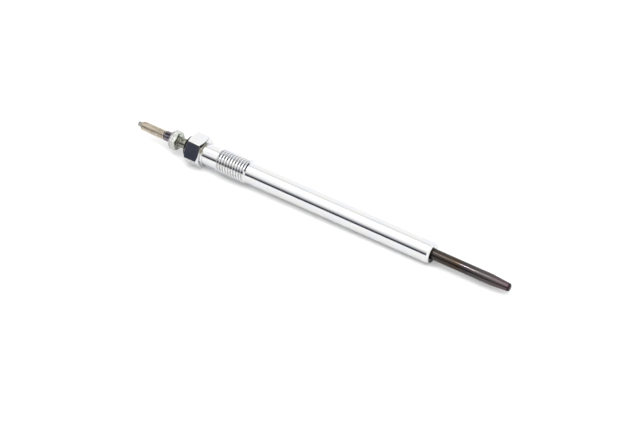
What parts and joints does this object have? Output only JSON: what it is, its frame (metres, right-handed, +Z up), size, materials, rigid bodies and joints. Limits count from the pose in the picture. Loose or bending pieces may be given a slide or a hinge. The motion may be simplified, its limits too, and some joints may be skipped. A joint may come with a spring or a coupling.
{
  "type": "diesel glow plug",
  "caption": "Slim plated glow plug with hex head, screw thread, long smooth shank, dark tapered heater tube and a threaded cable stud on a small hex collar.",
  "frame": {"origin": "middle of the plug's box, on the ground that it lies on", "axes": "+X along the plug towards the heater tip, +Z up; the axis dips about one degree towards the tip, because the plug rests on a flat of its hex head and on the rim of its shank"},
  "size_m": [0.169, 0.0138, 0.0121],
  "materials": {
    "plated_steel": "bright plated, smooth",
    "heater_alloy": "dark, heat tinted",
    "coil_wire": "drawn wire",
    "magnesia": "pressed powder",
    "seal_rubber": "moulded",
    "rod_steel": "drawn rod",
    "bush_plastic": "moulded, satin",
    "collar_steel": "turned, dull plated",
    "stud_brass": "rolled thread, pale yellow"
  },
  "bodies": {
    "root": {"shell": "plated_steel", "heater_tube": "heater_alloy", "heating_coil": "coil_wire", "control_coil": "coil_wire", "magnesia_fill": "magnesia", "tube_seal": "seal_rubber", "centre_rod": "rod_steel", "sealing_ring": "seal_rubber", "insulating_bush": "bush_plastic", "terminal_collar": "collar_steel", "terminal_stud": "stud_brass"}
  },
  "joints": []
}
